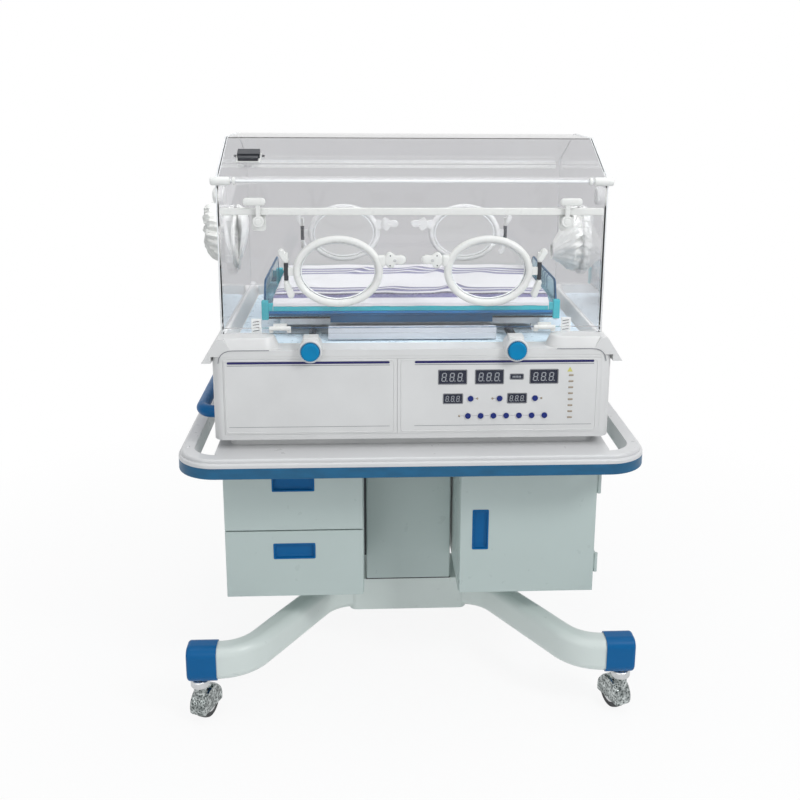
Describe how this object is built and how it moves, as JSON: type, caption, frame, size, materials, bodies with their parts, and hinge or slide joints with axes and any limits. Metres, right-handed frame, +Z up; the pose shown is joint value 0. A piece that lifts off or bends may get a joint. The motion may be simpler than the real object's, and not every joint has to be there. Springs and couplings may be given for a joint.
{
  "type": "infant incubator",
  "caption": "Clear-hooded infant incubator on a stand with bumper rail, drawers, cupboard and casters; doors, ports, bed tilt, keys and latches move.",
  "frame": {"origin": "on the floor under the middle of the stand", "axes": "+Z up, +X to the right of a person who faces the front, front at -Y"},
  "size_m": [1.07, 0.8, 1.358],
  "materials": {
    "enamel": "semi-gloss enamel",
    "blue_plastic": "moulded",
    "key_blue": "moulded",
    "bumper_blue": "satin",
    "white_plastic": "moulded",
    "display_glass": "tinted window",
    "circuit_board": "coated",
    "clear_acrylic": "clear sheet",
    "sleeve_film": "thin film",
    "chrome": "plated",
    "tyre": "satin rubber",
    "tray_blue": "tinted moulding",
    "sheet_cotton": "striped cotton",
    "steel": "brushed",
    "dark_plastic": "moulded"
  },
  "bodies": {
    "root": {"base_frame": "enamel", "leg_caps": "blue_plastic", "column": "enamel", "left_cabinet": "enamel", "right_cabinet": "enamel", "top_plate": "enamel", "rail_frame": "enamel", "bumper": "bumper_blue", "push_handle": "blue_plastic", "control_housing": "white_plastic", "left_fascia": "white_plastic", "control_panel": "white_plastic", "display_windows": "display_glass", "control_board": "circuit_board", "deck": "white_plastic", "humidifier_tank": "dark_plastic", "warm_air_unit": "steel"},
    "impeller": {"air_impeller": "dark_plastic"},
    "caster_front_left": {"caster_hood_front_left": "chrome"},
    "wheel_front_left": {"caster_wheel_front_left": "tyre"},
    "caster_rear_left": {"caster_hood_rear_left": "chrome"},
    "wheel_rear_left": {"caster_wheel_rear_left": "tyre"},
    "caster_front_right": {"caster_hood_front_right": "chrome"},
    "wheel_front_right": {"caster_wheel_front_right": "tyre"},
    "caster_rear_right": {"caster_hood_rear_right": "chrome"},
    "wheel_rear_right": {"caster_wheel_rear_right": "tyre"},
    "upper_drawer": {"upper_drawer": "enamel"},
    "lower_drawer": {"lower_drawer": "enamel"},
    "cabinet_door": {"cabinet_door": "enamel"},
    "key_1": {"key_1": "key_blue"},
    "key_2": {"key_2": "key_blue"},
    "key_3": {"key_3": "key_blue"},
    "key_4": {"key_4": "key_blue"},
    "key_5": {"key_5": "key_blue"},
    "key_6": {"key_6": "key_blue"},
    "key_7": {"key_7": "key_blue"},
    "key_8": {"key_8": "key_blue"},
    "key_9": {"key_9": "key_blue"},
    "key_10": {"key_10": "key_blue"},
    "hood": {"hood_shell": "clear_acrylic", "iris_sleeves": "sleeve_film"},
    "iris_ring_left": {"iris_ring_left": "white_plastic"},
    "iris_ring_right": {"iris_ring_right": "white_plastic"},
    "front_door": {"front_door": "clear_acrylic"},
    "door_latch_left": {"door_latch_left": "white_plastic"},
    "port_door_front_left": {"port_door_front_left": "clear_acrylic"},
    "port_latch_front_left": {"port_latch_front_left": "white_plastic"},
    "port_door_rear_left": {"port_door_rear_left": "clear_acrylic"},
    "port_latch_rear_left": {"port_latch_rear_left": "white_plastic"},
    "door_latch_right": {"door_latch_right": "white_plastic"},
    "port_door_front_right": {"port_door_front_right": "clear_acrylic"},
    "port_latch_front_right": {"port_latch_front_right": "white_plastic"},
    "port_door_rear_right": {"port_door_rear_right": "clear_acrylic"},
    "port_latch_rear_right": {"port_latch_rear_right": "white_plastic"},
    "bed_frame": {"lift_frame": "steel", "cassette_tray": "white_plastic"},
    "bed": {"mattress_tray": "tray_blue", "mattress": "sheet_cotton"},
    "tilt_knob_left": {"tilt_knob_left": "blue_plastic"},
    "tilt_knob_right": {"tilt_knob_right": "blue_plastic"}
  },
  "joints": [
    {"name": "impeller_spin", "type": "hinge", "parent": "root", "child": "impeller", "pos_m": [0, 0, 0.785], "axis": [0, 0, 1], "continuous": true},
    {"name": "caster_swivel_front_left", "type": "hinge", "parent": "root", "child": "caster_front_left", "pos_m": [-0.503, -0.36, 0.118], "axis": [0, 0, 1], "continuous": true},
    {"name": "wheel_roll_front_left", "type": "hinge", "parent": "caster_front_left", "child": "wheel_front_left", "pos_m": [-0.49476, -0.3396, 0.0375], "axis": [0.9272, -0.3746, 0], "continuous": true},
    {"name": "caster_swivel_rear_left", "type": "hinge", "parent": "root", "child": "caster_rear_left", "pos_m": [-0.503, 0.36, 0.118], "axis": [0, 0, 1], "continuous": true},
    {"name": "wheel_roll_rear_left", "type": "hinge", "parent": "caster_rear_left", "child": "wheel_rear_left", "pos_m": [-0.49476, 0.3396, 0.0375], "axis": [-0.9272, -0.3746, 0], "continuous": true},
    {"name": "caster_swivel_front_right", "type": "hinge", "parent": "root", "child": "caster_front_right", "pos_m": [0.503, -0.36, 0.118], "axis": [0, 0, 1], "continuous": true},
    {"name": "wheel_roll_front_right", "type": "hinge", "parent": "caster_front_right", "child": "wheel_front_right", "pos_m": [0.49476, -0.3396, 0.0375], "axis": [0.9272, 0.3746, 0], "continuous": true},
    {"name": "caster_swivel_rear_right", "type": "hinge", "parent": "root", "child": "caster_rear_right", "pos_m": [0.503, 0.36, 0.118], "axis": [0, 0, 1], "continuous": true},
    {"name": "wheel_roll_rear_right", "type": "hinge", "parent": "caster_rear_right", "child": "wheel_rear_right", "pos_m": [0.49476, 0.3396, 0.0375], "axis": [-0.9272, 0.3746, 0], "continuous": true},
    {"name": "upper_drawer_slide", "type": "slide", "parent": "root", "child": "upper_drawer", "axis": [0, -1, 0], "range_m": [0, 0.35]},
    {"name": "lower_drawer_slide", "type": "slide", "parent": "root", "child": "lower_drawer", "axis": [0, -1, 0], "range_m": [0, 0.35]},
    {"name": "cabinet_door_hinge", "type": "hinge", "parent": "root", "child": "cabinet_door", "pos_m": [0.451, -0.2633, 0.27], "axis": [0, 0, 1], "range_deg": [0, 110]},
    {"name": "key_1_press", "type": "slide", "parent": "root", "child": "key_1", "axis": [0, 1, 0], "range_m": [0, 0.001], "stiffness_N_per_m": 400, "springref_m": -0.0005},
    {"name": "key_2_press", "type": "slide", "parent": "root", "child": "key_2", "axis": [0, 1, 0], "range_m": [0, 0.001], "stiffness_N_per_m": 400, "springref_m": -0.0005},
    {"name": "key_3_press", "type": "slide", "parent": "root", "child": "key_3", "axis": [0, 1, 0], "range_m": [0, 0.001], "stiffness_N_per_m": 400, "springref_m": -0.0005},
    {"name": "key_4_press", "type": "slide", "parent": "root", "child": "key_4", "axis": [0, 1, 0], "range_m": [0, 0.001], "stiffness_N_per_m": 400, "springref_m": -0.0005},
    {"name": "key_5_press", "type": "slide", "parent": "root", "child": "key_5", "axis": [0, 1, 0], "range_m": [0, 0.001], "stiffness_N_per_m": 400, "springref_m": -0.0005},
    {"name": "key_6_press", "type": "slide", "parent": "root", "child": "key_6", "axis": [0, 1, 0], "range_m": [0, 0.001], "stiffness_N_per_m": 400, "springref_m": -0.0005},
    {"name": "key_7_press", "type": "slide", "parent": "root", "child": "key_7", "axis": [0, 1, 0], "range_m": [0, 0.001], "stiffness_N_per_m": 400, "springref_m": -0.0005},
    {"name": "key_8_press", "type": "slide", "parent": "root", "child": "key_8", "axis": [0, 1, 0], "range_m": [0, 0.001], "stiffness_N_per_m": 400, "springref_m": -0.0005},
    {"name": "key_9_press", "type": "slide", "parent": "root", "child": "key_9", "axis": [0, 1, 0], "range_m": [0, 0.001], "stiffness_N_per_m": 400, "springref_m": -0.0005},
    {"name": "key_10_press", "type": "slide", "parent": "root", "child": "key_10", "axis": [0, 1, 0], "range_m": [0, 0.001], "stiffness_N_per_m": 400, "springref_m": -0.0005},
    {"name": "hood_tilt", "type": "hinge", "parent": "root", "child": "hood", "pos_m": [0, 0.287, 0.9363], "axis": [-1, 0, 0], "range_deg": [0, 60]},
    {"name": "iris_turn_left", "type": "hinge", "parent": "hood", "child": "iris_ring_left", "pos_m": [-0.432, 0, 1.1], "axis": [-1, 0, 0], "range_deg": [0, 270]},
    {"name": "iris_turn_right", "type": "hinge", "parent": "hood", "child": "iris_ring_right", "pos_m": [0.432, 0, 1.1], "axis": [1, 0, 0], "range_deg": [0, 270]},
    {"name": "front_door_hinge", "type": "hinge", "parent": "hood", "child": "front_door", "pos_m": [0, -0.287, 0.9443], "axis": [1, 0, 0], "range_deg": [0, 90]},
    {"name": "door_latch_turn_left", "type": "hinge", "parent": "front_door", "child": "door_latch_left", "pos_m": [-0.341, -0.28, 1.186], "axis": [0, -1, 0], "range_deg": [0, 90]},
    {"name": "port_door_hinge_front_left", "type": "hinge", "parent": "front_door", "child": "port_door_front_left", "pos_m": [-0.283, -0.2895, 1.075], "axis": [0, 0, -1], "range_deg": [0, 110]},
    {"name": "port_latch_turn_front_left", "type": "hinge", "parent": "front_door", "child": "port_latch_front_left", "pos_m": [-0.042, -0.28, 1.1], "axis": [0, 1, 0], "range_deg": [0, 90]},
    {"name": "port_door_hinge_rear_left", "type": "hinge", "parent": "hood", "child": "port_door_rear_left", "pos_m": [-0.283, 0.2895, 1.075], "axis": [0, 0, 1], "range_deg": [0, 110]},
    {"name": "port_latch_turn_rear_left", "type": "hinge", "parent": "hood", "child": "port_latch_rear_left", "pos_m": [-0.042, 0.28, 1.1], "axis": [0, 1, 0], "range_deg": [0, 90]},
    {"name": "door_latch_turn_right", "type": "hinge", "parent": "front_door", "child": "door_latch_right", "pos_m": [0.341, -0.28, 1.186], "axis": [0, 1, 0], "range_deg": [0, 90]},
    {"name": "port_door_hinge_front_right", "type": "hinge", "parent": "front_door", "child": "port_door_front_right", "pos_m": [0.283, -0.2895, 1.075], "axis": [0, 0, 1], "range_deg": [0, 110]},
    {"name": "port_latch_turn_front_right", "type": "hinge", "parent": "front_door", "child": "port_latch_front_right", "pos_m": [0.042, -0.28, 1.1], "axis": [0, 1, 0], "range_deg": [0, 90]},
    {"name": "port_door_hinge_rear_right", "type": "hinge", "parent": "hood", "child": "port_door_rear_right", "pos_m": [0.283, 0.2895, 1.075], "axis": [0, 0, -1], "range_deg": [0, 110]},
    {"name": "port_latch_turn_rear_right", "type": "hinge", "parent": "hood", "child": "port_latch_rear_right", "pos_m": [0.042, 0.28, 1.1], "axis": [0, 1, 0], "range_deg": [0, 90]},
    {"name": "bed_lift_right", "type": "hinge", "parent": "root", "child": "bed_frame", "pos_m": [-0.3, 0, 0.9165], "axis": [0, -1, 0], "range_deg": [0, 8]},
    {"name": "bed_lift_left", "type": "hinge", "parent": "bed_frame", "child": "bed", "pos_m": [0.3, 0, 0.9425], "axis": [0, 1, 0], "range_deg": [0, 8]},
    {"name": "tilt_knob_turn_left", "type": "hinge", "parent": "root", "child": "tilt_knob_left", "pos_m": [-0.23, -0.33, 0.905], "axis": [0, 1, 0], "range_deg": [0, 360]},
    {"name": "tilt_knob_turn_right", "type": "hinge", "parent": "root", "child": "tilt_knob_right", "pos_m": [0.23, -0.33, 0.905], "axis": [0, 1, 0], "range_deg": [0, 360]}
  ],
  "couplings": [
    {"joint": "tilt_knob_turn_left", "follows": "bed_lift_left", "ratio": 45},
    {"joint": "tilt_knob_turn_right", "follows": "bed_lift_right", "ratio": 45}
  ]
}
